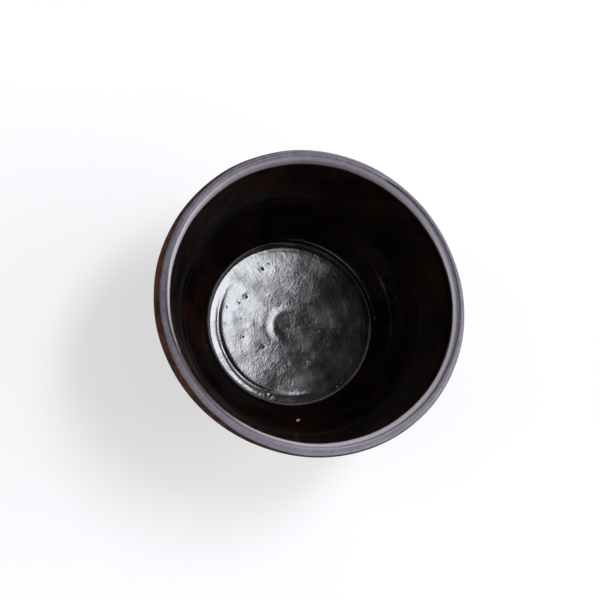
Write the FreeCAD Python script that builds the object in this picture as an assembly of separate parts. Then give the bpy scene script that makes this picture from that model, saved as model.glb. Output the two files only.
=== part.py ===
import FreeCAD, Part
import math
import os

from FreeCAD import Vector

# Matcha bowl (chawan): a thrown stoneware wall and floor, a foot ring luted under it, and the
# glaze coats fired onto the clay. Millimetres. +Z is up, the origin is the centre of the foot,
# on the surface that the bowl stands on. Every piece is turned about Z.

# Overall form, measured on the glazed surface.
RIM_DIAMETER = 120.0          # across the lip's outer corner, before the lip is rounded over
HEIGHT = 63.0                 # from the standing surface to the crest of the lip

# Hollow: a slightly dished well, a leaning lower wall, then a steeper upper wall up to the lip.
WELL_RADIUS = 32.5            # corner between the well's floor and the lower wall
WELL_RISE = 2.0               # how much the floor climbs from its centre to that corner
WELL_ROUNDING = 7.0           # hollow curve that joins floor and lower wall
UPPER_LEAN = 7.9              # how far the upper wall leans out from its foot to the lip
WAIST_RISE = 19.0             # from the centre of the floor up to where the lower wall turns
WAIST_ROUNDING = 26.0         # hollow curve of that turn into the upper wall

# Thicknesses, glaze included.
WALL_WIDTH = 5.6              # upper wall and lip, measured level
LOWER_WALL = 7.0              # lower wall, measured square to it
FLOOR_THICKNESS = 6.0         # at the centre, down to the underside
LIP_ROUNDING = 2.6            # both edges of the lip
HIP_ROUNDING = 8.0            # outer turn from the lower wall to the underside

# Foot ring, bare clay.
FOOT_HEIGHT = 7.5
FOOT_RADIUS = 28.0            # outside, at the standing face
FOOT_WIDTH = 5.5              # of the standing face, before its edges are rounded
FOOT_FLARE = 1.0              # each side of the ring leans out by this much towards the bowl
FOOT_ROUNDING = 0.9           # edges of the standing face

# Glaze coats.
LINER_COAT = 0.6              # inside wall
POOL_COAT = 1.3               # glaze that ran down and pooled in the well
RIM_COAT = 0.5                # thin over the crest of the lip
OUTER_COAT = 0.6              # outside wall
RIM_BAND = 4.5                # depth of the lip's band of glaze below the crest
POOL_RADIUS = 35.5            # where the pool ends against the wall's coat
GLAZE_LINE = 16.5             # height at which the outer coat stops above the bare hip
ROLL_COAT = 1.2               # thickness of the roll of glaze along that line
ROLL_LENGTH = 4.0             # length up the wall over which the roll swells
ROLL_ROUNDING = 0.5           # outer edge of the roll

ROUNDING_SHARE = 0.46         # most of a wall's width that one edge's rounding may take
BACKING_DEPTH = 2.0           # how far the coats' closing outline runs inside the clay


def intersection(first, second):
    """Point where two lines meet, each given by two (radius, height) points."""
    (ax, az), (bx, bz) = first
    (cx, cz), (dx, dz) = second
    run = (bx - ax) * (dz - cz) - (bz - az) * (dx - cx)
    share = ((cx - ax) * (dz - cz) - (cz - az) * (dx - cx)) / run
    return (ax + share * (bx - ax), az + share * (bz - az))


def moved_right(line, distance):
    """The same line, moved square to itself, to the right of its own direction."""
    (ax, az), (bx, bz) = line
    length = math.hypot(bx - ax, bz - az)
    step_x = (bz - az) / length * distance
    step_z = -(bx - ax) / length * distance
    return ((ax + step_x, az + step_z), (bx + step_x, bz + step_z))


def at_height(line, height):
    """Point of a line at a given height."""
    return intersection(line, ((0.0, height), (1.0, height)))


def corners_along(lines):
    """Points where each line of a chain meets the next."""
    return [intersection(line, following) for line, following in zip(lines, lines[1:])]


def section(corners):
    """Flat half section, closed, from (radius, height, rounding) corners."""
    runs = []
    for index, (radius, height, rounding) in enumerate(corners):
        here = Vector(radius, 0, height)
        before = corners[index - 1]
        after = corners[(index + 1) % len(corners)]
        back = (Vector(before[0], 0, before[1]) - here).normalize()
        onward = (Vector(after[0], 0, after[1]) - here).normalize()
        if rounding == 0:
            runs.append((here, None, here))
            continue
        half_angle = back.getAngle(onward) / 2
        reach = rounding / math.tan(half_angle)
        bisector = (back + onward).normalize()
        middle = here + bisector * (rounding / math.sin(half_angle) - rounding)
        runs.append((here + back * reach, middle, here + onward * reach))
    edges = []
    for index, (start, middle, end) in enumerate(runs):
        if middle is not None:
            edges.append(Part.Arc(start, middle, end).toShape())
        edges.append(Part.LineSegment(end, runs[(index + 1) % len(runs)][0]).toShape())
    return Part.Face(Part.Wire(edges))


def band_section(radius, low, high):
    """Half section of everything inside a radius and between two heights."""
    return section([(0.0, low, 0), (radius, low, 0), (radius, high, 0), (0.0, high, 0)])


def turned(half_section):
    """Solid turned about the bowl's axis from a half section."""
    return half_section.revolve(Vector(0, 0, 0), Vector(0, 0, 1), 360)


rim_radius = RIM_DIAMETER / 2
floor_height = FOOT_HEIGHT + FLOOR_THICKNESS
waist_radius = rim_radius - WALL_WIDTH - UPPER_LEAN
lip_rounding = min(LIP_ROUNDING, WALL_WIDTH * ROUNDING_SHARE)

# Glazed surface, as a chain of straight stretches from the centre of the floor, up the inside,
# over the lip and down the outside. The solid lies to the right of the direction of travel.
floor_centre = (0.0, floor_height)
well_corner = (WELL_RADIUS, floor_height + WELL_RISE)
waist = (waist_radius, floor_height + WAIST_RISE)
inner_lip = (rim_radius - WALL_WIDTH, HEIGHT)
outer_lip = (rim_radius, HEIGHT)
outer_waist_level = (waist_radius + WALL_WIDTH, waist[1])

floor_line = (floor_centre, well_corner)
lower_inside = (well_corner, waist)
upper_inside = (waist, inner_lip)
lip_line = (inner_lip, outer_lip)
upper_outside = (outer_lip, outer_waist_level)
lower_outside = tuple(reversed(moved_right(lower_inside, LOWER_WALL)))
glazed_lines = [floor_line, lower_inside, upper_inside, lip_line, upper_outside, lower_outside]

# Clay surface: each glazed stretch moved in by its own coat.
coats = [POOL_COAT, LINER_COAT, LINER_COAT, RIM_COAT, OUTER_COAT, OUTER_COAT]
clay_lines = [moved_right(line, coat) for line, coat in zip(glazed_lines, coats)]

# Roundings at the meeting points of the stretches: hollow turns grow by the coat beneath them,
# the lip's edges shrink by it.
glazed_roundings = [WELL_ROUNDING, WAIST_ROUNDING, lip_rounding, lip_rounding,
                    WAIST_ROUNDING + WALL_WIDTH]
clay_roundings = [WELL_ROUNDING + LINER_COAT, WAIST_ROUNDING + LINER_COAT, lip_rounding - RIM_COAT,
                  lip_rounding - RIM_COAT, WAIST_ROUNDING + WALL_WIDTH - OUTER_COAT]


def with_roundings(points, roundings):
    """(radius, height, rounding) corners from points and their roundings."""
    return [(radius, height, rounding) for (radius, height), rounding in zip(points, roundings)]


def on_axis(line):
    """Point of a line on the bowl's axis, as a sharp corner."""
    radius, height = intersection(line, ((0.0, 0.0), (0.0, 1.0)))
    return (radius, height, 0)


def clay_section():
    """Thrown wall and floor, with a level underside for the foot ring."""
    hip = at_height(clay_lines[-1], FOOT_HEIGHT)
    return section([on_axis(clay_lines[0])]
                   + with_roundings(corners_along(clay_lines), clay_roundings)
                   + [(*hip, HIP_ROUNDING), (0.0, FOOT_HEIGHT, 0)])


def foot_section():
    """Ring luted to the underside, level on top and on its standing face."""
    rounding = min(FOOT_ROUNDING, FOOT_WIDTH * ROUNDING_SHARE)
    inner_radius = FOOT_RADIUS - FOOT_WIDTH
    return section([(inner_radius, 0.0, rounding),
                    (FOOT_RADIUS, 0.0, rounding),
                    (FOOT_RADIUS + FOOT_FLARE, FOOT_HEIGHT, 0),
                    (inner_radius - FOOT_FLARE, FOOT_HEIGHT, 0)])


def glazed_section():
    """The glazed surface down to the glaze line, closed off inside the clay."""
    wall = clay_lines[-1]
    line_point = at_height(wall, GLAZE_LINE)
    wall_length = math.dist(*wall)
    up = [(wall[0][axis] - wall[1][axis]) / wall_length for axis in (0, 1)]
    outward = [up[1], -up[0]]

    def beside_the_line(up_the_wall, out_of_the_clay):
        return tuple(line_point[axis] + up[axis] * up_the_wall + outward[axis] * out_of_the_clay
                     for axis in (0, 1))

    roll_top = beside_the_line(ROLL_LENGTH, OUTER_COAT)
    roll_edge = beside_the_line(0.0, ROLL_COAT)
    backing = beside_the_line(0.0, -BACKING_DEPTH)
    floor_backing = FOOT_HEIGHT + (FLOOR_THICKNESS - POOL_COAT) / 2
    return section([(*floor_centre, 0)]
                   + with_roundings(corners_along(glazed_lines), glazed_roundings)
                   + [(*roll_top, 0), (*roll_edge, ROLL_ROUNDING), (*backing, 0),
                      (WELL_RADIUS, floor_backing, 0), (0.0, floor_backing, 0)])


def coat_sections():
    """What the glazed surface adds to the clay, parted into the bowl's four runs of glaze."""
    coats_together = glazed_section().cut(clay_section())
    rim_zone = band_section(RIM_DIAMETER, HEIGHT - RIM_BAND, HEIGHT + RIM_COAT)
    pool_zone = band_section(POOL_RADIUS, 0.0, HEIGHT)
    hollow_zone = section([on_axis(clay_lines[0])]
                          + [(*corner, 0) for corner in corners_along(clay_lines)[:3]]
                          + [(0.0, HEIGHT, 0)])
    below_rim = coats_together.cut(rim_zone)
    inside = below_rim.common(hollow_zone)
    return {"rim_glaze": coats_together.common(rim_zone),
            "inner_wall_glaze": inside.cut(pool_zone),
            "well_glaze_pool": inside.common(pool_zone),
            "outer_wall_glaze": below_rim.cut(hollow_zone)}


def main():
    os.makedirs("parts", exist_ok=True)
    sections = {"clay_body": clay_section(), "foot_ring": foot_section()}
    sections.update(coat_sections())
    for name, half_section in sections.items():
        piece = turned(half_section)
        print(name, len(piece.Solids), "solid", round(piece.Volume), "mm3", piece.isValid())
        piece.exportStep(os.path.join("parts", name + ".step"))


main()
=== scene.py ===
import math

import bmesh
import bpy
from mathutils import Matrix, Vector, noise


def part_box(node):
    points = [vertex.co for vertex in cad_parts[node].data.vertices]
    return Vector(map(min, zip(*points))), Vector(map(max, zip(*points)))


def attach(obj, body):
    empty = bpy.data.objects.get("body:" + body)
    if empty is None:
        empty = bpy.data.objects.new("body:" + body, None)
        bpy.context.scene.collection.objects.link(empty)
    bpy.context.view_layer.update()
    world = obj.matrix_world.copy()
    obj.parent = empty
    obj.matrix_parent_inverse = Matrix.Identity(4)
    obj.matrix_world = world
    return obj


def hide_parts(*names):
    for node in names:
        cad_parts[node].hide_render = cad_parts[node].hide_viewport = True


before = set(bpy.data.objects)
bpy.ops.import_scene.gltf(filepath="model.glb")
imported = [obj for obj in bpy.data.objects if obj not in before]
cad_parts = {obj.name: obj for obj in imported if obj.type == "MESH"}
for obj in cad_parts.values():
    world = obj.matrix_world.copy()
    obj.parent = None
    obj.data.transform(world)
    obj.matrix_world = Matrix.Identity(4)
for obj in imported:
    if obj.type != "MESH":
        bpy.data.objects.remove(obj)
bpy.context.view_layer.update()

mm = 0.001
print("frame loaded")

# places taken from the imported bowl
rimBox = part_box("rim_glaze")
crestHeight = rimBox[1].z
rimBandLow = rimBox[0].z  # where the lip's band of glaze meets both walls
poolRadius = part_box("well_glaze_pool")[1].x
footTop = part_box("foot_ring")[1].z
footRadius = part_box("foot_ring")[1].x  # at its top, where it meets the bowl

# the thrown form, on the glazed surface
thrownForm = {
    "rimRadius": 60.0 * mm,  # outer corner of the lip before rounding
    "floorHeight": 13.5 * mm,
    "wellRadius": 33.2 * mm,
    "wellRise": 2.0 * mm,
    "wellRounding": 3.6 * mm,
    "waistRadius": 46.5 * mm,
    "waistRise": 19.0 * mm,
    "waistRounding": 26.0 * mm,
    "wallWidth": 5.6 * mm,
    "lowerWall": 6.6 * mm,
    "lipRounding": 2.6 * mm,
    "hipRounding": 8.0 * mm,
    "glazeLine": 16.5 * mm,  # height where the outer coat stops
    "turns": 400,  # steps round the bowl
    "step": 0.4 * mm,  # spacing along the outline
    "lipStep": 0.14 * mm,
    "hiddenStep": 2.2 * mm,
    "cornerSegments": [16, 24, 20, 26, 24],  # well, inner waist, both edges of the lip, outer waist
}

# glaze thickness over the clay along the six stretches of the form, centre to outside
coatDepths = [1.3 * mm, 0.6 * mm, 0.6 * mm, 0.5 * mm, 0.6 * mm, 0.6 * mm]

# how far the thrower's hands left it from true
handWork = {
    "lipLean": 0.45 * mm,  # the lip is thicker on one side
    "lipLeanTurn": math.radians(222),
    "outOfRound": 0.25 * mm,
    "rimDip": 0.25 * mm,
    "wander": 0.16 * mm,
    "wanderSize": 16 * mm,
    "wanderFades": (16 * mm, 30 * mm),
    "bendHeight": 24 * mm,  # the lip's faults grow from here up
    "innerShare": 0.4,  # how much of the lean the inside takes
    "outerGain": 1.2,
    "blend": 2 * mm,  # between inside and outside
    "wellShift": Vector((-0.6, 0.9, 0)) * mm,  # the well isn't quite in the middle
    "wellLow": (8 * mm, 14 * mm),
    "wellHigh": (24 * mm, 38 * mm),
    "wellBlend": 3 * mm,
    "outerWaves": [(0.59, 1, -45), (0.41, 2, 100), (0.22, 3, 21)],  # lip: height in mm, count, side
}

# rings left by the fingers, in mm and degrees: (distance along the outline from the middle of the
# well, height, width, side it is strongest on, unevenness)
fingerRings = [
    (28.8, -0.28, 0.95, 262, 2.6),
    (34.0, -0.34, 0.55, 105, 3.0),
    (35.3, 0.20, 0.60, 105, 3.0),
    (43.6, 0.06, 0.60, 70, 0.8),
    (45.2, -0.05, 0.80, 70, 0.8),
    (52.4, 0.13, 0.50, 190, 1.0),
    (54.0, -0.12, 0.70, 190, 1.0),
    (57.6, 0.06, 0.50, 170, 0.9),
    (62.6, 0.04, 0.60, 60, 0.8),
    (64.4, -0.03, 0.80, 60, 0.8),
    (71.5, 0.03, 0.60, 0, 0.8),
    (77.0, -0.03, 0.60, 200, 0.8),
]

# small nicks in the lip: (side, distance along the outline, radius, depth)
lipNicks = [(101, 87.4, 0.6, 0.16), (124, 88.3, 0.55, 0.12)]
nickSpan = (84, 90)  # the stretch of the outline, in mm, that nicks and the crest line are on

# pinholes in the pool: (x, y, radius)
pinholes = [(-22.9, 10.1, 0.55), (-20.1, -3.1, 0.5), (-1.6, -13.8, 0.5),
            (-20.5, -7.0, 0.35), (-23.2, -11.9, 0.35), (-10.2, -16.3, 0.35),
            (13.1, -27.3, 0.6), (6.5, 9.0, 0.3), (16.0, -6.0, 0.35)]


def smoothStep(low, high, value):
    share = min(1.0, max(0.0, (value - low) / (high - low)))
    return share * share * (3 - 2 * share)


def bell(value, centre, width):
    return math.exp(-((value - centre) / width) ** 2)


def lineMeeting(firstLine, secondLine):
    (ax, az), (bx, bz) = firstLine
    (cx, cz), (dx, dz) = secondLine
    run = (bx - ax) * (dz - cz) - (bz - az) * (dx - cx)
    share = ((cx - ax) * (dz - cz) - (cz - az) * (dx - cx)) / run
    return (ax + share * (bx - ax), az + share * (bz - az))


def lineMovedIn(line, distance):
    (ax, az), (bx, bz) = line
    length = math.hypot(bx - ax, bz - az)
    stepX = (bz - az) / length * distance
    stepZ = (ax - bx) / length * distance
    return ((ax + stepX, az + stepZ), (bx + stepX, bz + stepZ))


def heightPoint(line, height):
    return lineMeeting(line, ((0.0, height), (1.0, height)))


def glazedLines():
    # straight stretches from the floor's centre over the lip to the outside, clay on the right
    f = thrownForm
    centre = (0.0, f["floorHeight"])
    well = (f["wellRadius"], f["floorHeight"] + f["wellRise"])
    waist = (f["waistRadius"], f["floorHeight"] + f["waistRise"])
    innerLip = (f["rimRadius"] - f["wallWidth"], crestHeight)
    outerLip = (f["rimRadius"], crestHeight)
    outerWaist = (f["waistRadius"] + f["wallWidth"], waist[1])
    lower = (well, waist)
    outerLower = tuple(reversed(lineMovedIn(lower, f["lowerWall"])))
    return [(centre, well), lower, (waist, innerLip), (innerLip, outerLip), (outerLip, outerWaist),
            outerLower]


def outlineCorners(lines, end, grow):
    # corners of a chain of lines with the roundings of the form; grow widens the hollow turns
    f = thrownForm
    points = [lineMeeting(line, following) for line, following in zip(lines, lines[1:])]
    start = lineMeeting(lines[0], ((0.0, 0.0), (0.0, 1.0)))
    roundings = [f["wellRounding"] + grow, f["waistRounding"] + grow, f["lipRounding"] - grow,
                 f["lipRounding"] - grow, f["waistRounding"] + f["wallWidth"] - grow]
    corners = [(*point, rounding, count)
               for point, rounding, count in zip(points, roundings, f["cornerSegments"])]
    return [(*start, 0, 0)] + corners + end


def roundedOutline(corners, stepAt):
    # a wire of corners, rounded with vertex bevels and cut to an even step, read back in order
    bm = bmesh.new()
    verts = [bm.verts.new((radius, 0.0, height)) for radius, height, _, _ in corners]
    for first, second in zip(verts, verts[1:]):
        bm.edges.new((first, second))
    places = [vert.co.copy() for vert in verts]
    for index in range(1, len(corners) - 1):
        rounding, segments = corners[index][2:]
        if rounding > 0:
            back = places[index - 1] - places[index]
            onward = places[index + 1] - places[index]
            reach = rounding / math.tan(back.angle(onward) / 2)
            bmesh.ops.bevel(bm, geom=[verts[index]], offset=reach, offset_type="OFFSET", affect="VERTICES",
                            segments=segments, profile=0.5, material=-1)
    for edge in list(bm.edges):
        middle = (edge.verts[0].co + edge.verts[1].co) / 2
        cuts = int(edge.calc_length() / stepAt(middle))
        if cuts > 0:
            bmesh.ops.subdivide_edges(bm, edges=[edge], cuts=cuts)
    ends = [vert for vert in bm.verts if len(vert.link_edges) == 1]
    here = min(ends, key=lambda vert: (vert.co - places[0]).length)
    outline = [(here.co.x, here.co.z)]
    before = None
    while before is None or len(here.link_edges) == 2:
        before = next(edge for edge in here.link_edges if edge is not before)
        here = before.other_vert(here)
        outline.append((here.co.x, here.co.z))
    bm.free()
    return outline


def outlineNormals(outline):
    # unit vectors square to the outline, out of the clay
    normals = []
    for index in range(len(outline)):
        ahead = outline[min(index + 1, len(outline) - 1)]
        behind = outline[max(index - 1, 0)]
        run = math.dist(ahead, behind)
        normals.append((-(ahead[1] - behind[1]) / run, (ahead[0] - behind[0]) / run))
    normals[0] = (0.0, 1.0) if outline[0][0] < 0.01 * mm else normals[0]
    return normals


def outlineStations(outline):
    stations = [0.0]
    for behind, here in zip(outline, outline[1:]):
        stations.append(stations[-1] + math.dist(behind, here))
    return stations


def handMoved(place):
    # small unevenness of the throwing, the same for clay and glaze so that they stay together
    h = handWork
    f = thrownForm
    radius = math.hypot(place.x, place.y)
    turn = math.atan2(place.y, place.x)
    upWall = smoothStep(h["bendHeight"], crestHeight, place.z)
    wallHeight = crestHeight - f["floorHeight"] - f["waistRise"]
    lean = (f["rimRadius"] - f["waistRadius"] - f["wallWidth"]) / wallHeight
    midWall = f["rimRadius"] - f["wallWidth"] / 2 - (crestHeight - place.z) * lean
    outside = smoothStep(-h["blend"], h["blend"], radius - midWall)
    shift = h["lipLean"] * math.cos(turn - h["lipLeanTurn"]) * upWall
    shift *= h["innerShare"] + h["outerGain"] * outside
    shift += h["outOfRound"] * math.cos(2 * turn + 0.7) * upWall
    shift += h["wander"] * noise.noise(place / h["wanderSize"]) * smoothStep(*h["wanderFades"], place.z)
    for height, count, side in h["outerWaves"]:
        shift += height * mm * math.cos(count * turn - math.radians(side)) * upWall * outside
    dip = h["rimDip"] * (math.cos(2 * turn + 2.0) + 0.4 * math.cos(3 * turn)) * upWall ** 3
    moved = Vector((place.x, place.y, place.z + dip))
    if radius > 0.01 * mm:
        moved += Vector((place.x, place.y, 0)) * (shift / radius)
    lowInside = smoothStep(*h["wellLow"], place.z) * (1 - smoothStep(*h["wellHigh"], place.z))
    inward = 1 - smoothStep(-h["wellBlend"], h["wellBlend"], radius - midWall)
    return moved + h["wellShift"] * lowInside * inward


wellMarks = {
    "dish": 1.6 * mm,  # how much the floor sags between its middle and its edge
    "dishEnds": (0.9, 1.0),  # shares of the well's radius
    "button": (0.07 * mm, 0.0, 3.2 * mm),  # height, radius, width
    "crescent": (-0.09 * mm, 6.0 * mm, 1.6 * mm),
    "ridge": (0.06 * mm, 8.6 * mm, 1.6 * mm),
    "crescentSide": 3.9,
    "spiralHeight": 0.010 * mm,
    "spiralSpacing": 7.5 * mm,
    "spiralStarts": (8 * mm, 12 * mm),
    "spiralEnds": (24 * mm, 30 * mm),
    "unevenness": [(0.07 * mm, 14 * mm), (0.005 * mm, 2.8 * mm)],  # height, size
    "pinholeRim": 0.08 * mm,
    "pinholeDepth": 0.34 * mm,
}


def floorRelief(place):
    # mark of the thrower's finger in the well, with a small button at its centre, and pinholes
    w = wellMarks
    radius = math.hypot(place.x, place.y)
    turn = math.atan2(place.y, place.x)
    share = radius / thrownForm["wellRadius"]
    rise = w["dish"] * (share * share - share) * (1 - smoothStep(*w["dishEnds"], share))
    height, middle, width = w["button"]
    rise += height * bell(radius, middle, width)
    for height, middle, width in (w["crescent"], w["ridge"]):
        rise += height * bell(radius, middle, width) * (0.5 + 0.5 * math.cos(turn - w["crescentSide"])) ** 2
    spiral = math.cos(turn - radius / w["spiralSpacing"] * 2 * math.pi)
    spiral *= smoothStep(*w["spiralStarts"], radius) * (1 - smoothStep(*w["spiralEnds"], radius))
    rise += w["spiralHeight"] * spiral
    flat = Vector((place.x, place.y, 0))
    for height, size in w["unevenness"]:
        rise += height * noise.noise(flat / size)
    for x, y, size in pinholes:
        away = math.hypot(place.x - x * mm, place.y - y * mm)
        if away < 3 * size * mm:
            rise += w["pinholeRim"] * bell(away, 1.5 * size * mm, 0.5 * size * mm)
            rise -= w["pinholeDepth"] * bell(away, 0, 0.75 * size * mm)
    return rise


# throwing marks of the walls; lengths along the outline are in mm
wallMarks = {
    "ringWander": 0.35,
    "ringWanderCount": 1.7,
    "innerStarts": (38, 44),
    "innerEnds": (78, 82),
    "outerStarts": (94, 100),
    "spiralHeight": 0.022 * mm,
    "spiralSpacing": 2.1,
    "outerGain": 1.6,
    "waveHeight": 0.10 * mm,
    "waveSpacing": 9.5,
    "poolEnds": (30 * mm, 35 * mm),  # where the well's own marks fade
}


def surfaceRise(place, station):
    # everything that stands out of or sinks into the glazed surface, square to it
    w = wallMarks
    turn = math.atan2(place.y, place.x)
    circle = Vector((math.cos(turn), math.sin(turn), 0.3))
    wandered = station / mm + w["ringWander"] * noise.noise(circle * w["ringWanderCount"])
    rise = 0.0
    for ringPlace, depth, width, side, uneven in fingerRings:
        if abs(wandered - ringPlace) < 4 * width:
            share = max(0.0, 1 - uneven * 0.5 + uneven * 0.5 * math.cos(turn - math.radians(side)))
            rise += depth * mm * share * bell(wandered, ringPlace, width)
    onWall = smoothStep(*w["innerStarts"], wandered) * (1 - smoothStep(*w["innerEnds"], wandered))
    outside = smoothStep(*w["outerStarts"], wandered)
    spiral = math.cos(2 * math.pi * wandered / w["spiralSpacing"] - turn)
    strength = 0.5 + noise.noise(Vector((wandered / 6, math.cos(turn), math.sin(turn))))
    rise += w["spiralHeight"] * spiral * strength * (onWall + w["outerGain"] * outside)
    wave = math.cos(2 * math.pi * wandered / w["waveSpacing"] - turn + 1.0)
    rise += w["waveHeight"] * wave * outside
    if nickSpan[0] < station / mm < nickSpan[1]:
        rise -= crestGrooveAndReflectionLook["depth"] * crestGrooveAndDarkReflection(place, station)
        for side, nickStation, size, depth in lipNicks:
            along = math.remainder(turn - math.radians(side), 2 * math.pi) * thrownForm["rimRadius"] / mm
            rise -= depth * mm * bell(math.hypot(along, station / mm - nickStation), 0, size)
    if station < w["poolEnds"][1]:
        rise += floorRelief(place) * (1 - smoothStep(*w["poolEnds"], station))
    return rise


# the grey band between the lip's two rusty edges, partly the glaze's own grey and partly painted sheen,
# with painted highlights on top; lengths along the outline are in mm, and waves are (height, count, side in
# degrees)
lipBloomAndHighlight = {
    "innerWaves": [(0.5, 1, 286), (1.0, 1, -52), (0.85, 2, 124), (0.2, 3, 67)],
    "innerStart": 2.7 * mm,  # up from the lower edge of the lip's band
    "outerStation": 89.9,
    "unevenness": 0.35,
    "unevenCount": 6,
    "innerRustWidth": 0.45,
    "rustReach": 1.7,  # how much further in the rust reaches on its widest side
    "rustSide": math.radians(218),
    "rustFades": (1.5, 7.5),  # beyond the bloom, down the outside
    "lowerRust": (3.2, 0.8),  # up from the lower edge of the outer coat
    "innerFades": (86.0, 86.9),  # across the crest
    "innerHighlight": 1.0,  # painted highlight: how much paler the band is on the inner side of the crest
    # side where the painted highlight on the inner side of the crest is weakest
    "faintSide": math.radians(136),
    "faintShare": 0.6,
    # painted light: the band is paler towards this side
    "litSide": math.radians(305),
    "litSideGain": 0.4,
}


def lipShares(place, station):
    # how rusty the glaze is where it runs thin, and how much of the lip's grey band it carries; past 1 the
    # share is painted highlight
    b = lipBloomAndHighlight
    turn = math.atan2(place.y, place.x)
    at = station / mm
    circle = Vector((math.cos(turn) * b["unevenCount"], math.sin(turn) * b["unevenCount"], at / 3))
    uneven = b["unevenness"] * noise.noise(circle)
    innerEdge = innerEdgeStation / mm
    for height, count, side in b["innerWaves"]:
        innerEdge += height * math.cos(count * turn - math.radians(side))
    outerEdge = b["outerStation"] - b["rustReach"] * max(0.0, math.cos(turn - b["rustSide"]))
    rust = bell(at, innerEdge - 0.1, b["innerRustWidth"] + 0.3 * uneven)
    outer = smoothStep(outerEdge - 0.2 + uneven, outerEdge + 1.0 + uneven, at)
    fadeStart, fadeEnd = b["rustFades"]
    rust += outer * (1 - smoothStep(outerEdge + fadeStart + 3 * uneven, outerEdge + fadeEnd + 5 * uneven, at))
    lowStart, lowEnd = b["lowerRust"]
    rust += smoothStep(endStation / mm - lowStart + 1.5 * uneven, endStation / mm - lowEnd, at)
    bloomAndHighlight = smoothStep(innerEdge - 0.35, innerEdge + 0.15, at)
    bloomAndHighlight *= 1 - smoothStep(outerEdge, outerEdge + 0.9, at)
    # painted highlight on the inner side of the crest, weakest towards the faint side, and painted light
    # towards the lit side
    towardsFaint = 0.5 + 0.5 * math.cos(turn - b["faintSide"])
    innerHighlightGain = b["innerHighlight"] * (1 - b["faintShare"] * towardsFaint ** 3)
    bloomAndHighlight *= 1 + innerHighlightGain * (1 - smoothStep(*b["innerFades"], at))
    bloomAndHighlight *= 1 + b["litSideGain"] * max(0.0, math.cos(turn - b["litSide"]))
    return min(1.0, rust), bloomAndHighlight


# a fine shallow groove along the crest, darkened in colour as a painted dark reflection; sides and lengths
# round the bowl are in degrees
crestGrooveAndReflectionLook = {
    "start": 103,  # side where it sets in
    "length": 290,  # runs the other way round
    "fadesIn": 5,
    "fadesOut": 60,
    "station": 87.2,  # mm along the outline
    "width": 0.5,
    "depth": 0.015 * mm,
    "faintAt": 150,
    "faintWidth": 32,
    "faintShare": 0.75,
    "wander": 0.25,
    "outwardSide": 44,
    "outwardShift": 0.4,
    "startShift": -0.8,
    "startLength": 14,
}


def crestGrooveAndDarkReflection(place, station):
    g = crestGrooveAndReflectionLook
    turn = math.degrees(math.atan2(place.y, place.x))
    along = (g["start"] - turn) % 360
    share = smoothStep(0, g["fadesIn"], along)
    share *= 1 - smoothStep(g["length"] - g["fadesOut"], g["length"], along)
    share *= 1 - g["faintShare"] * bell(along, g["faintAt"], g["faintWidth"])
    at = g["station"] + g["wander"] * noise.noise(Vector((math.cos(turn / 30), math.sin(turn / 30), 0.7)))
    at += g["outwardShift"] * math.cos(math.radians(turn - g["outwardSide"]))
    at += g["startShift"] * (1 - smoothStep(0, g["startLength"], along))
    return share * bell(station / mm, at, g["width"])


lowerEdge = {
    "waves": [(0.9, 2.1), (0.35, 7)],  # mm, count
    # runs of glaze: (side, length, width in degrees)
    "drips": [(20, 1.6, 9), (75, 2.6, 5), (118, 1.2, 7), (190, 2.9, 5.5), (236, 1.5, 10),
              (262, 2.2, 4), (318, 1.8, 8)],
    "dripReach": (0.5 * mm, 9 * mm),  # how far up the wall a drip pulls
    "hiddenReach": 1.2,
    "bulge": 0.22,  # how much a drip swells, as a share of its length
    "bulgeSpan": (0.3 * mm, 3.2 * mm),
    "bulgePlace": 1.6,
    "cutBack": 1.0,  # mm of the wall that the rounded edge takes the place of
    "swell": 0.6 * mm,
    "swellPlace": 1.1,
    "swellWidth": 1.7,
    "noseLength": 1.0 * mm,
    "noseDepth": 1.35 * mm,
    "noseSteps": 9,
}


def glazeDrip(turn):
    # how far the lower edge of the outer glaze has run past its line
    circle = Vector((math.cos(turn), math.sin(turn), 0.0))
    run = sum(height * noise.noise(circle * count) for height, count in lowerEdge["waves"])
    for side, length, width in lowerEdge["drips"]:
        away = (turn - math.radians(side) + math.pi) % (2 * math.pi) - math.pi
        run += length * bell(away, 0, math.radians(width))
    return run * mm


def lowerRoll(wire, normals, stations):
    # the outer coat swells along its lower edge and rounds down onto the clay
    g = lowerEdge
    rolled = []
    end = stations[-1]
    for (radius, height), (nx, nz), station in zip(wire, normals, stations):
        before = (end - station) / mm
        if before < g["cutBack"]:
            continue
        swell = g["swell"] * bell(before, g["swellPlace"], g["swellWidth"])
        rolled.append(((radius + nx * swell, height + nz * swell), (nx, nz), station))
    (radius, height), (nx, nz), _ = rolled[-1]
    downX, downZ = nz, -nx  # along the wall towards the foot
    for index in range(1, g["noseSteps"] + 1):
        angle = index / g["noseSteps"] * math.pi / 2
        across, onward = math.cos(angle), math.sin(angle)
        along = g["noseLength"] * onward
        sink = g["noseDepth"] * (1 - across)
        place = (radius + downX * along - nx * sink, height + downZ * along - nz * sink)
        turned = (nx * across + downX * onward, nz * across + downZ * onward)
        rolled.append((place, turned, end - (1 - onward) * mm))
    return rolled


def shellLoop(front, thickness, hiddenStep):
    # the front of a coat, then its hidden back set into the clay; hidden points have station -1
    points = [(place, normal, station) for place, normal, station in front]
    last = None
    for place, normal, station in reversed(front):
        onAxis = place[0] < 0.01 * mm
        isEnd = station in (front[0][2], front[-1][2])
        if last is not None and not isEnd and abs(last - station) < hiddenStep:
            continue
        if last is None and thickness == 0:
            last = station
            continue
        sunk = (0.0 if onAxis else place[0] - normal[0] * thickness, place[1] - normal[1] * thickness)
        points.append((sunk, normal, -1.0))
        last = station
    return points


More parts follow.
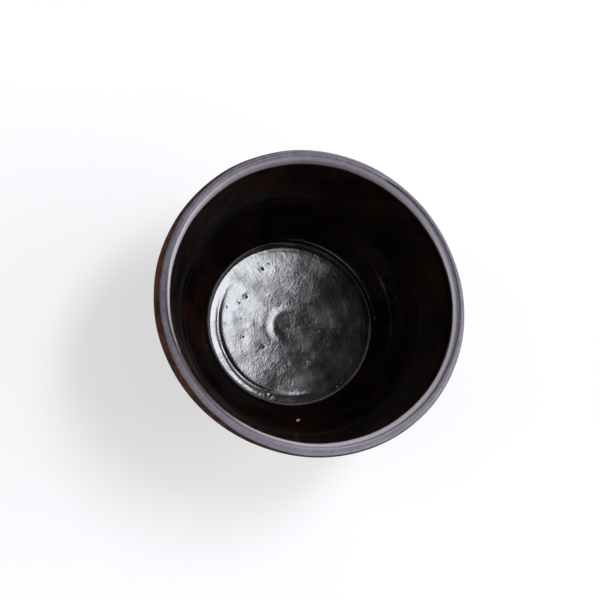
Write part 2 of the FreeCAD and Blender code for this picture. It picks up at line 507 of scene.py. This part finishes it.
def spunSurface(points, turns, closed):
    # a wire spun round the axis, welded, faces outward; keeps each point's station and outward direction
    bm = bmesh.new()
    stationLayer = bm.verts.layers.float.new("station")
    outwardLayer = bm.verts.layers.float_vector.new("outward")
    verts = []
    for (radius, height), (nx, nz), station in points:
        vert = bm.verts.new((radius, 0.0, height))
        vert[stationLayer] = station
        vert[outwardLayer] = (nx, 0.0, nz)
        verts.append(vert)
    edges = [bm.edges.new(pair) for pair in zip(verts, verts[1:])]
    if closed:
        edges.append(bm.edges.new((verts[-1], verts[0])))
    bmesh.ops.spin(bm, geom=verts + edges, cent=(0, 0, 0), axis=(0, 0, 1), dvec=(0, 0, 0),
                   angle=2 * math.pi, steps=turns, use_merge=True, use_duplicate=False)
    bmesh.ops.remove_doubles(bm, verts=bm.verts, dist=0.001 * mm)
    bmesh.ops.recalc_face_normals(bm, faces=bm.faces)
    return bm


def raised(vert, outward, rise):
    # moves a spun vertex square to its outline
    radius = math.hypot(vert.co.x, vert.co.y)
    if radius < 0.01 * mm:
        vert.co.z += rise
        return
    level = outward.x * rise / radius
    vert.co += Vector((vert.co.x * level, vert.co.y * level, outward.z * rise))


def finishedPiece(name, bm, nodes, material):
    for face in bm.faces:
        face.smooth = True
    for edge in bm.edges:
        if edge.calc_face_angle(0) > 1.0:
            edge.smooth = False
    outwardLayer = bm.verts.layers.float_vector.get("outward")
    if outwardLayer:
        bm.verts.layers.float_vector.remove(outwardLayer)
    mesh = bpy.data.meshes.new(name)
    bm.to_mesh(mesh)
    bm.free()
    mesh.materials.append(material)
    piece = bpy.data.objects.new(name, mesh)
    bpy.context.scene.collection.objects.link(piece)
    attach(piece, "root")
    if nodes:
        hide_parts(*nodes)
    print(name, "made,", len(mesh.polygons), "faces")
    return piece


# material helpers
def newMaterial(name):
    material = bpy.data.materials.new(name)
    material.use_nodes = True
    tree = material.node_tree
    return material, tree, tree.nodes["Principled BSDF"]


def addNode(tree, kind, inputs=None, **settings):
    made = tree.nodes.new(kind)
    for key, value in settings.items():
        setattr(made, key, value)
    for key, value in (inputs or {}).items():
        if isinstance(value, bpy.types.NodeSocket):
            tree.links.new(value, made.inputs[key])
        else:
            made.inputs[key].default_value = value
    return made


def noiseOf(tree, place, scale, detail=3.0, roughness=0.5):
    settings = {"Vector": place, "Scale": scale, "Detail": detail, "Roughness": roughness}
    return addNode(tree, "ShaderNodeTexNoise", settings).outputs[0]


def rangeOf(tree, value, fromMin, fromMax, toMin, toMax):
    inputs = {"Value": value, "From Min": fromMin, "From Max": fromMax, "To Min": toMin, "To Max": toMax}
    return addNode(tree, "ShaderNodeMapRange", inputs, interpolation_type="SMOOTHSTEP").outputs["Result"]


def mixOf(tree, share, first, second):
    made = addNode(tree, "ShaderNodeMix", data_type="RGBA")
    for index, value in ((0, share), (6, first), (7, second)):
        if isinstance(value, bpy.types.NodeSocket):
            tree.links.new(value, made.inputs[index])
        else:
            made.inputs[index].default_value = (*value, 1) if index > 0 else value
    return made.outputs[2]


def mathOf(tree, operation, first, second):
    return addNode(tree, "ShaderNodeMath", {0: first, 1: second}, operation=operation).outputs[0]


def bumpOf(tree, height, distance, strength, before=None):
    inputs = {"Height": height, "Distance": distance, "Strength": strength}
    if before:
        inputs["Normal"] = before
    return addNode(tree, "ShaderNodeBump", inputs).outputs["Normal"]


def specksOf(tree, place, scale, size, share):
    # round specks in some of the cells of a cell pattern
    cells = addNode(tree, "ShaderNodeTexVoronoi", {"Vector": place, "Scale": scale, "Randomness": 1.0})
    dots = rangeOf(tree, cells.outputs["Distance"], size * 0.6, size, 1.0, 0.0)
    chosen = addNode(tree, "ShaderNodeSeparateColor", {"Color": cells.outputs["Color"]})
    keep = mathOf(tree, "LESS_THAN", chosen.outputs[0], share)
    return mathOf(tree, "MULTIPLY", dots, keep)


darkGlazeLook = {
    "black": (0.0012, 0.0009, 0.0011),
    "redBrown": (0.0105, 0.0036, 0.0028),
    "rust": (0.066, 0.027, 0.014),
    "deepRust": (0.024, 0.010, 0.007),
    "smudgePlace": (3.0 * mm, 25.0 * mm, 15.0 * mm),  # a duller patch of the pool
    "smudge": (4 * mm, 12 * mm, 0.22),  # its middle and edge, and the sheen left in its middle
    "peelScale": 1150,
    "rippleScale": 260,
    "crystal": (0.022, 0.012, 0.010),
    "wall": {"rough": (0.16, 0.27), "sheen": (0.15, 0.24), "peel": 0.3},
    "pool": {"rough": (0.13, 0.20), "sheen": (0.6, 1.0), "peel": 0.32},
}
rustBreaks = (0.5, 1.0)  # shares of rust between which the glaze breaks to it


def scaled(tree, value, factor):
    return mathOf(tree, "MULTIPLY", value, factor)


def brokenShare(tree, rust, fine):
    # a ragged edge for the rust
    return rangeOf(tree, mathOf(tree, "ADD", rust, scaled(tree, fine, 0.5)), *rustBreaks, 0.0, 1.0)


def rustColour(tree, place):
    # the same on both glazes, so that no edge shows where one ends
    patches = rangeOf(tree, noiseOf(tree, place, 210, 5, 0.65), 0.38, 0.62, 0.0, 1.0)
    return mixOf(tree, patches, darkGlazeLook["rust"], darkGlazeLook["deepRust"])


def darkGlazeMaterial(name, pooled):
    # iron glaze, nearly black, red brown where it is thinner; the pooled kind is glossier and more grainy
    look = darkGlazeLook
    kind = look["pool"] if pooled else look["wall"]
    material, tree, shader = newMaterial(name)
    place = addNode(tree, "ShaderNodeTexCoord").outputs["Object"]
    rust = addNode(tree, "ShaderNodeAttribute", attribute_name="rust").outputs["Fac"]
    clouds = noiseOf(tree, place, 62, 6, 0.62)
    fine = noiseOf(tree, place, 900, 4, 0.6)
    cloudShare = rangeOf(tree, clouds, 0.36, 0.68, 0.0, 1.0)
    colour = mixOf(tree, cloudShare, look["black"], look["redBrown"])
    crystals = specksOf(tree, place, 900, 0.28, 0.22)
    colour = mixOf(tree, scaled(tree, crystals, 0.5), colour, look["crystal"])
    broken = brokenShare(tree, rust, fine)
    colour = mixOf(tree, broken, colour, rustColour(tree, place))
    tree.links.new(colour, shader.inputs["Base Color"])
    rough = rangeOf(tree, noiseOf(tree, place, 95, 5, 0.6), 0.3, 0.7, *kind["rough"])
    rough = mathOf(tree, "ADD", rough, scaled(tree, broken, 0.3))
    tree.links.new(rough, shader.inputs["Roughness"])
    shader.inputs["IOR"].default_value = 1.5
    sheen = rangeOf(tree, noiseOf(tree, place, 75, 3, 0.55), 0.36, 0.56, *kind["sheen"])
    if pooled:
        middle, edge, left = look["smudge"]
        ends = {0: place, 1: look["smudgePlace"]}
        away = addNode(tree, "ShaderNodeVectorMath", ends, operation="DISTANCE").outputs["Value"]
        sheen = scaled(tree, sheen, rangeOf(tree, away, middle, edge, left, 1.0))
    sheen = scaled(tree, sheen, mathOf(tree, "SUBTRACT", 1.0, scaled(tree, broken, 0.8)))
    tree.links.new(sheen, shader.inputs["Specular IOR Level"])
    ripple = bumpOf(tree, noiseOf(tree, place, look["rippleScale"], 2, 0.5), 0.25 * mm, 0.22)
    peel = bumpOf(tree, noiseOf(tree, place, look["peelScale"], 2, 0.5), 0.10 * mm, kind["peel"], ripple)
    pores = specksOf(tree, place, 300, 0.16, 0.25)
    final = bumpOf(tree, mathOf(tree, "SUBTRACT", 1.0, pores), 0.08 * mm, 0.8, peel)
    tree.links.new(final, shader.inputs["Normal"])
    return material


rimLook = {
    "grey": (0.106, 0.096, 0.116),
    "paleGrey": (0.140, 0.128, 0.156),
    "highlightPale": (0.42, 0.385, 0.44),
    "brown": (0.070, 0.050, 0.050),
    "darkReflectionStrength": 0.95,
    "rough": (0.22, 0.34),
    "gloss": 0.2,
    "bloomGloss": 0.22,
    "dulling": 0.38,  # by rust and by the crest line
    "leastGloss": 0.04,
}


def rimGlazeMaterial():
    # the same glaze run thin over the lip: a grey violet band, partly painted sheen, breaking to rust along
    # both edges, with a painted highlight and a painted dark reflection along the crest
    look = rimLook
    material, tree, shader = newMaterial("satinRimGlaze")
    place = addNode(tree, "ShaderNodeTexCoord").outputs["Object"]
    rust = addNode(tree, "ShaderNodeAttribute", attribute_name="rust").outputs["Fac"]
    bloomAndHighlight = addNode(tree, "ShaderNodeAttribute", attribute_name="bloomAndHighlight").outputs["Fac"]
    line = addNode(tree, "ShaderNodeAttribute", attribute_name="crestGrooveAndDarkReflection").outputs["Fac"]
    clouds = noiseOf(tree, place, 150, 6, 0.65)
    fine = noiseOf(tree, place, 900, 4, 0.6)
    colour = mixOf(tree, rangeOf(tree, clouds, 0.35, 0.65, 0.0, 1.0), look["grey"], look["paleGrey"])
    colour = mixOf(tree, rangeOf(tree, fine, 0.52, 0.72, 0.0, 0.5), colour, look["brown"])
    freckles = specksOf(tree, place, 620, 0.24, 0.3)
    colour = mixOf(tree, scaled(tree, freckles, 0.5), colour, look["brown"])
    # painted highlight: the band pales where its share passes 1
    colour = mixOf(tree, rangeOf(tree, bloomAndHighlight, 1.0, 2.0, 0.0, 0.8), colour, look["highlightPale"])
    unbloomed = mathOf(tree, "SUBTRACT", 1.0, bloomAndHighlight)
    # black outside the band, and a painted dark reflection along the crest
    dark = mathOf(tree, "MAXIMUM", unbloomed, scaled(tree, line, look["darkReflectionStrength"]))
    colour = mixOf(tree, dark, colour, darkGlazeLook["black"])
    broken = brokenShare(tree, rust, fine)
    colour = mixOf(tree, broken, colour, rustColour(tree, place))
    tree.links.new(colour, shader.inputs["Base Color"])
    rough = rangeOf(tree, clouds, 0.3, 0.7, *look["rough"])
    rough = mathOf(tree, "ADD", rough, scaled(tree, broken, 0.3))
    tree.links.new(rough, shader.inputs["Roughness"])
    gloss = mathOf(tree, "ADD", scaled(tree, bloomAndHighlight, look["bloomGloss"]), look["gloss"])
    dulled = scaled(tree, mathOf(tree, "MAXIMUM", broken, line), look["dulling"])
    gloss = mathOf(tree, "MAXIMUM", mathOf(tree, "SUBTRACT", gloss, dulled), look["leastGloss"])
    tree.links.new(gloss, shader.inputs["Specular IOR Level"])
    ripple = bumpOf(tree, noiseOf(tree, place, 300, 2, 0.5), 0.2 * mm, 0.2)
    peel = bumpOf(tree, noiseOf(tree, place, 1300, 3, 0.6), 0.06 * mm, 0.4, ripple)
    tree.links.new(peel, shader.inputs["Normal"])
    return material


clayLook = {
    "body": (0.27, 0.165, 0.105),
    "toasted": (0.19, 0.095, 0.052),
    "pale": (0.36, 0.25, 0.17),
    "iron": (0.035, 0.018, 0.010),
}


def bareClayMaterial():
    # unglazed stoneware: sandy, toasted in patches, with iron specks and lines left by the turning tool
    look = clayLook
    material, tree, shader = newMaterial("bareStoneware")
    place = addNode(tree, "ShaderNodeTexCoord").outputs["Object"]
    split = addNode(tree, "ShaderNodeSeparateXYZ", {"Vector": place})
    level = {"X": split.outputs["X"], "Y": split.outputs["Y"]}
    flat = addNode(tree, "ShaderNodeCombineXYZ", level).outputs[0]
    radius = addNode(tree, "ShaderNodeVectorMath", {0: flat}, operation="LENGTH").outputs["Value"]
    across = addNode(tree, "ShaderNodeCombineXYZ", {"X": radius, "Z": split.outputs["Z"]}).outputs[0]
    clouds = noiseOf(tree, place, 45, 6, 0.65)
    grain = noiseOf(tree, place, 1400, 5, 0.7)
    lines = noiseOf(tree, across, 1500, 3, 0.6)
    colour = mixOf(tree, rangeOf(tree, clouds, 0.35, 0.68, 0.0, 1.0), look["body"], look["toasted"])
    colour = mixOf(tree, rangeOf(tree, grain, 0.5, 0.75, 0.0, 0.6), colour, look["pale"])
    colour = mixOf(tree, rangeOf(tree, lines, 0.55, 0.75, 0.0, 0.35), colour, look["toasted"])
    iron = specksOf(tree, place, 420, 0.2, 0.16)
    colour = mixOf(tree, iron, colour, look["iron"])
    tree.links.new(colour, shader.inputs["Base Color"])
    tree.links.new(rangeOf(tree, grain, 0.3, 0.7, 0.72, 0.92), shader.inputs["Roughness"])
    shader.inputs["Specular IOR Level"].default_value = 0.3
    turned = bumpOf(tree, lines, 0.12 * mm, 0.6)
    sandy = bumpOf(tree, grain, 0.10 * mm, 0.8, turned)
    pits = specksOf(tree, place, 520, 0.22, 0.12)
    final = bumpOf(tree, mathOf(tree, "SUBTRACT", 1.0, pits), 0.15 * mm, 0.7, sandy)
    tree.links.new(final, shader.inputs["Normal"])
    return material


floorLook = {
    "tones": [(0.55, 0.55, 0.555), (0.58, 0.58, 0.575)],
    # the floor lights itself: painted light that brightens it and lifts the bowl's shadow on it
    "glow": 0.44,
    "rough": (0.75, 0.9),
    "size": 3.0,  # half its width, metres
    "drop": 0.03 * mm,  # lies this much under the foot
}


def paleFloorMaterial():
    look = floorLook
    material, tree, shader = newMaterial("paleFloor")
    place = addNode(tree, "ShaderNodeTexCoord").outputs["Object"]
    clouds = noiseOf(tree, place, 6, 4, 0.5)
    tree.links.new(mixOf(tree, clouds, *look["tones"]), shader.inputs["Base Color"])
    # painted light: the floor glows by itself
    shader.inputs["Emission Color"].default_value = (1, 1, 1, 1)
    shader.inputs["Emission Strength"].default_value = look["glow"]
    tree.links.new(rangeOf(tree, clouds, 0.3, 0.7, *look["rough"]), shader.inputs["Roughness"])
    tree.links.new(bumpOf(tree, noiseOf(tree, place, 900, 2, 0.5), 0.05 * mm, 0.2), shader.inputs["Normal"])
    return material


wallGlaze = darkGlazeMaterial("darkIronGlaze", False)
pooledGlaze = darkGlazeMaterial("pooledIronGlaze", True)
rimFinish = rimGlazeMaterial()
clayFinish = bareClayMaterial()
print("materials made")

# outline of the glazed surface and the places where one coat ends and the next begins
lines = glazedLines()
clayLines = [lineMovedIn(line, depth) for line, depth in zip(lines, coatDepths)]
clayEnd = heightPoint(clayLines[-1], thrownForm["glazeLine"])
downWall = (Vector(lines[-1][1]) - Vector(lines[-1][0])).normalized()
wallOutward = Vector((-downWall.y, downWall.x))
glazeEnd = Vector(clayEnd) + wallOutward * coatDepths[-1]


def glazeStep(place):
    return thrownForm["lipStep"] if place.z > rimBandLow else thrownForm["step"]


outline = roundedOutline(outlineCorners(lines, [(*glazeEnd, 0, 0)], 0), glazeStep)
normals = outlineNormals(outline)
stations = outlineStations(outline)
poolEnd = min(index for index, point in enumerate(outline) if point[0] >= poolRadius)
rimStart = min(index for index, point in enumerate(outline) if point[1] >= rimBandLow)
rimEnd = max(index for index, point in enumerate(outline) if point[1] >= rimBandLow)
innerEdgeStation = stations[rimStart] + lipBloomAndHighlight["innerStart"]
endStation = stations[-1]
partings = [round(stations[index] / mm, 1) for index in (poolEnd, rimStart, rimEnd)]
print("outline of", len(outline), "points; coats part at", partings)


def coatPiece(name, first, last, thickness, node, material, rolled=False):
    # one run of glaze, with its back set into the clay
    part = list(zip(outline, normals, stations))[first:last + 1]
    if rolled:
        part = lowerRoll(*[[item[k] for item in part] for k in range(3)])
    onAxis = part[0][0][0] < 0.01 * mm
    bm = spunSurface(shellLoop(part, thickness, thrownForm["hiddenStep"]), thrownForm["turns"], not onAxis)
    stationLayer = bm.verts.layers.float["station"]
    outwardLayer = bm.verts.layers.float_vector["outward"]
    rustLayer = bm.verts.layers.float.new("rust")
    bloomAndHighlightLayer = bm.verts.layers.float.new("bloomAndHighlight")
    darkReflectionLayer = bm.verts.layers.float.new("crestGrooveAndDarkReflection")
    for vert in bm.verts:
        station = vert[stationLayer]
        if station >= 0:
            vert[rustLayer], vert[bloomAndHighlightLayer] = lipShares(vert.co, station)
            vert[darkReflectionLayer] = crestGrooveAndDarkReflection(vert.co, station)
            raised(vert, vert[outwardLayer], surfaceRise(vert.co, station))
        if rolled:
            before = endStation - station
            if station < 0:
                before = (vert.co.z - thrownForm["glazeLine"]) * lowerEdge["hiddenReach"]
            weight = 1 - smoothStep(*lowerEdge["dripReach"], before)
            if weight > 0:
                turn = math.atan2(vert.co.y, vert.co.x)
                run = glazeDrip(turn) * weight
                down = Vector((math.cos(turn) * downWall.x, math.sin(turn) * downWall.x, downWall.y))
                vert.co += down * run
                low, high = lowerEdge["bulgeSpan"]
                if low < before < high and station >= 0:
                    swell = lowerEdge["bulge"] * bell(before / mm, lowerEdge["bulgePlace"], 1.0)
                    raised(vert, vert[outwardLayer], swell * max(0.0, run))
        vert.co = handMoved(vert.co)
    bmesh.ops.recalc_face_normals(bm, faces=bm.faces)
    return finishedPiece(name, bm, [node], material)


coatPiece("wellGlazePool", 0, poolEnd, 0.6 * mm, "well_glaze_pool", pooledGlaze)
coatPiece("innerWallGlaze", poolEnd, rimStart, 0.35 * mm, "inner_wall_glaze", wallGlaze)
coatPiece("rimGlaze", rimStart, rimEnd, 0.3 * mm, "rim_glaze", rimFinish)
coatPiece("outerWallGlaze", rimEnd, len(outline) - 1, 0.35 * mm, "outer_wall_glaze",
          wallGlaze, True)

# the clay: thrown wall and floor under the coats, with a turned hip and underside
clayForm = {
    "grooveDepth": 0.07 * mm,
    "grooveSpacing": 1.9 * mm,
    "nubHeight": 0.7 * mm,  # left under the middle by the turning tool
    "nubRadius": 3.2 * mm,
    "facetDepth": 0.12 * mm,
    "facetSpacing": 8.3 * mm,
    "coveredHeight": 4 * mm,  # above the glaze line, where the detail ends under the coat
    "footZone": (20 * mm, 21 * mm, 29.5 * mm, 30.5 * mm),  # left level for the foot ring
    "turns": 288,
}


def clayPiece():
    g = clayForm
    hip = heightPoint(clayLines[-1], footTop)
    end = [(*hip, thrownForm["hipRounding"], 22), (0.0, footTop, 0, 0)]
    visibleTop = thrownForm["glazeLine"] + g["coveredHeight"]

    def stepAt(place):
        bare = place.z < visibleTop and (place.z < footTop + 0.1 * mm or place.x > 0.9 * hip[0])
        return thrownForm["step"] if bare else thrownForm["hiddenStep"]

    wire = roundedOutline(outlineCorners(clayLines, end, 0.5 * mm), stepAt)
    clayStations = outlineStations(wire)
    wireNormals = outlineNormals(wire)
    bm = spunSurface(list(zip(wire, wireNormals, clayStations)), g["turns"], False)
    stationLayer = bm.verts.layers.float["station"]
    outwardLayer = bm.verts.layers.float_vector["outward"]
    whole = clayStations[-1]
    for vert in bm.verts:
        left = whole - vert[stationLayer]  # distance along the outline from the centre of the underside
        radius = math.hypot(vert.co.x, vert.co.y)
        turn = math.atan2(vert.co.y, vert.co.x)
        bare = 1 - smoothStep(visibleTop - 3 * mm, visibleTop, vert.co.z) if left < whole / 2 else 0.0
        onUnderside = vert.co.z < footTop + 0.2 * mm
        underFoot = smoothStep(*g["footZone"][:2], radius) * (1 - smoothStep(*g["footZone"][2:], radius))
        if bare > 0:
            groove = math.cos(2 * math.pi * left / g["grooveSpacing"] - turn)
            uneven = 0.6 + 0.8 * noise.noise(vert.co / (7 * mm))
            rise = g["grooveDepth"] * (groove * uneven - 0.8)
            rise -= g["facetDepth"] * (0.5 + 0.5 * math.cos(2 * math.pi * left / g["facetSpacing"]))
            if onUnderside:
                rise += g["nubHeight"] * bell(radius, 0, g["nubRadius"])
                rise *= 1 - underFoot
            outward = vert[outwardLayer] if radius > 0.01 * mm else Vector((0, 0, -1))
            raised(vert, outward, rise * bare)
        vert.co = handMoved(vert.co)
    bmesh.ops.recalc_face_normals(bm, faces=bm.faces)
    return finishedPiece("clayBody", bm, ["clay_body"], clayFinish)


clayPiece()

# the foot ring, luted on and turned
footForm = {
    "width": 5.5 * mm,  # of the standing face before rounding
    "flare": 1.0 * mm,
    "rounding": 0.9 * mm,
    "lutingSwell": 0.7 * mm,  # clay pressed into the corner under the bowl
    "lutingHeight": 1.1 * mm,
    "grooveDepth": 0.05 * mm,
    "grooveSpacing": 1.1 * mm,
    "wobble": 0.22 * mm,
    "lumps": (0.09 * mm, 4 * mm),  # height, size
    "wear": (0.10 * mm, 9 * mm),  # of the standing face
    "sideFades": (0.6 * mm, 1.6 * mm),  # up from the standing face
    "step": 0.3 * mm,
    "turns": 288,
}


def footPiece():
    g = footForm
    outer = footRadius - g["flare"]
    inner = outer - g["width"]
    corners = [(inner - g["flare"], footTop, 0, 0), (inner, 0.0, g["rounding"], 8),
               (outer, 0.0, g["rounding"], 8), (footRadius, footTop, 0, 0)]
    wire = roundedOutline(corners, lambda place: g["step"])
    wireStations = outlineStations(wire)
    wireNormals = [(-nx, -nz) for nx, nz in outlineNormals(wire)]
    bm = spunSurface(list(zip(wire, wireNormals, wireStations)), g["turns"], True)
    stationLayer = bm.verts.layers.float["station"]
    outwardLayer = bm.verts.layers.float_vector["outward"]
    middle = (inner + outer) / 2
    for vert in bm.verts:
        turn = math.atan2(vert.co.y, vert.co.x)
        radius = math.hypot(vert.co.x, vert.co.y)
        side = 1 if radius > middle else -1
        onSide = smoothStep(*g["sideFades"], vert.co.z)
        belowTop = 1 - smoothStep(footTop - 0.3 * mm, footTop, vert.co.z)
        groove = math.cos(2 * math.pi * vert[stationLayer] / g["grooveSpacing"] - turn)
        rise = g["grooveDepth"] * groove * onSide * belowTop
        lumpHeight, lumpSize = g["lumps"]
        rise += lumpHeight * noise.noise(vert.co / lumpSize) * onSide
        swell = g["lutingSwell"] * bell(vert.co.z, footTop, g["lutingHeight"])
        swell += g["wobble"] * noise.noise(Vector((math.cos(turn), math.sin(turn), side)) * 1.3) * onSide
        raised(vert, vert[outwardLayer], rise)
        wearDepth, wearSize = g["wear"]
        worn = wearDepth * max(0.0, noise.noise(vert.co / wearSize) + 0.1) * (1 - onSide)
        vert.co += Vector((math.cos(turn) * side * swell, math.sin(turn) * side * swell, worn))
        vert.co.z = max(0.0, vert.co.z)
    bmesh.ops.recalc_face_normals(bm, faces=bm.faces)
    return finishedPiece("footRing", bm, ["foot_ring"], clayFinish)


footPiece()

# a small pale lump, white to orange, standing out of the glaze of the inner wall
fleckForm = {
    "place": Vector((27.05, -28.74, 24.95)) * mm,
    "size": Vector((0.95, 0.45, 0.40)) * mm,
    "lean": math.radians(35),
    "lumpiness": 0.16,
    "wallSlope": math.radians(50.5),
    "white": (0.80, 0.68, 0.52),
    "orange": (0.55, 0.26, 0.10),
}


def fleckMaterial():
    material, tree, shader = newMaterial("paleFleckFinish")
    place = addNode(tree, "ShaderNodeTexCoord").outputs["Object"]
    grain = noiseOf(tree, place, 1500, 4, 0.6)
    stained = rangeOf(tree, grain, 0.42, 0.6, 0.0, 1.0)
    colour = mixOf(tree, stained, fleckForm["white"], fleckForm["orange"])
    tree.links.new(colour, shader.inputs["Base Color"])
    tree.links.new(rangeOf(tree, grain, 0.3, 0.7, 0.35, 0.6), shader.inputs["Roughness"])
    tree.links.new(bumpOf(tree, noiseOf(tree, place, 3500, 3, 0.6), 0.05 * mm, 0.6), shader.inputs["Normal"])
    return material


def fleckPiece():
    # a lumpy grain, sunk halfway into the slope of the wall
    g = fleckForm
    bm = bmesh.new()
    bmesh.ops.create_icosphere(bm, subdivisions=4, radius=1.0)
    inwards = Vector((-g["place"].x, -g["place"].y, 0)).normalized()
    normal = inwards * math.sin(g["wallSlope"]) + Vector((0, 0, math.cos(g["wallSlope"])))
    normal.normalize()
    level = normal.cross(Vector((0, 0, 1))).normalized()
    facing = Matrix((level, normal.cross(level), normal)).transposed() @ Matrix.Rotation(g["lean"], 3, "Z")
    for vert in bm.verts:
        lump = 1 + g["lumpiness"] * (noise.noise(vert.co * 1.7) + 0.5 * noise.noise(vert.co * 4.3))
        shaped = [length * size * lump for length, size in zip(vert.co, g["size"])]
        vert.co = g["place"] + facing @ Vector(shaped)
    return finishedPiece("paleFleck", bm, [], fleckMaterial())


fleckPiece()

# floor of the studio
bm = bmesh.new()
bmesh.ops.create_grid(bm, x_segments=1, y_segments=1, size=floorLook["size"])
bmesh.ops.translate(bm, verts=bm.verts, vec=(0, 0, -floorLook["drop"]))
mesh = bpy.data.meshes.new("studioFloor")
bm.to_mesh(mesh)
bm.free()
studioFloor = bpy.data.objects.new("studioFloor", mesh)
mesh.materials.append(paleFloorMaterial())
bpy.context.scene.collection.objects.link(studioFloor)

# camera above the mouth, turned a little about its own line of sight
cameraPlace = {
    "elevation": math.radians(70.95),
    "roll": math.radians(42.1),
    "aim": Vector((0, 0, crestHeight - 1.5 * mm)),  # centre of the mouth
    "offset": Vector((5.41, 0.37, -600.0)) * mm,  # the mouth's centre as the camera sees it
    "lens": 96.45,
}


def setCamera():
    c = cameraPlace
    data = bpy.data.cameras.new("studioCamera")
    data.lens = c["lens"]
    data.sensor_width = 36
    data.clip_end = 20
    camera = bpy.data.objects.new("studioCamera", data)
    turned = Matrix.Rotation(math.pi / 2 - c["elevation"], 4, "X") @ Matrix.Rotation(c["roll"], 4, "Z")
    camera.matrix_world = Matrix.Translation(c["aim"] - turned.to_3x3() @ c["offset"]) @ turned
    bpy.context.scene.collection.objects.link(camera)
    bpy.context.scene.camera = camera


def areaLight(name, azimuth, elevation, distance, size, twist, power, colour):
    # a soft panel that faces the bowl; azimuth 0 is +X, turning towards +Y; twist turns it in its own plane
    data = bpy.data.lights.new(name, "AREA")
    data.shape = "RECTANGLE"
    data.size, data.size_y = size
    data.energy = power
    data.color = colour
    light = bpy.data.objects.new(name, data)
    flat = math.cos(math.radians(elevation))
    towards = Vector((flat * math.cos(math.radians(azimuth)), flat * math.sin(math.radians(azimuth)),
                      math.sin(math.radians(elevation))))
    facing = towards.to_track_quat("Z", "Y").to_matrix().to_4x4()
    turned = Matrix.Rotation(math.radians(twist), 4, "Z")
    light.matrix_world = Matrix.Translation(towards * distance) @ facing @ turned
    bpy.context.scene.collection.objects.link(light)
    return light


# the air round the bowl: bright near the horizon, dark overhead, a little brighter on one side
airLook = {
    "horizon": 0.45,
    "overhead": 0.85,
    "strengths": (1.25, 0.06),
    "brightSide": (0.76, 0.65, 0),
    "sideGains": (0.55, 1.15),
}

setCamera()
areaLight("window", 73.2, 63.4, 1.4, (0.32, 0.66), -144, 8.3, (0.90, 0.92, 1.0))
areaLight("nearStrip", 40, 27, 1.4, (1.0, 0.14), 0, 6.5, (0.86, 0.90, 1.0))
areaLight("farStrip", 220, 27, 1.4, (1.0, 0.14), 0, 5.0, (0.92, 0.90, 1.0))
world = bpy.data.worlds.new("studioAir")
world.use_nodes = True
air = world.node_tree
skyward = addNode(air, "ShaderNodeTexCoord").outputs["Generated"]
upward = addNode(air, "ShaderNodeSeparateXYZ", {"Vector": skyward}).outputs["Z"]
ends = {0: skyward, 1: airLook["brightSide"]}
sideways = addNode(air, "ShaderNodeVectorMath", ends, operation="DOT_PRODUCT").outputs["Value"]
fromSide = rangeOf(air, sideways, -0.9, 0.9, *airLook["sideGains"])
fromAbove = rangeOf(air, upward, airLook["horizon"], airLook["overhead"], *airLook["strengths"])
brightness = mathOf(air, "MULTIPLY", fromAbove, fromSide)
air.links.new(brightness, air.nodes["Background"].inputs["Strength"])
air.nodes["Background"].inputs["Color"].default_value = (1, 1, 1, 1)
bpy.context.scene.world = world
bpy.context.scene.view_settings.view_transform = "Standard"
print("camera and light set")
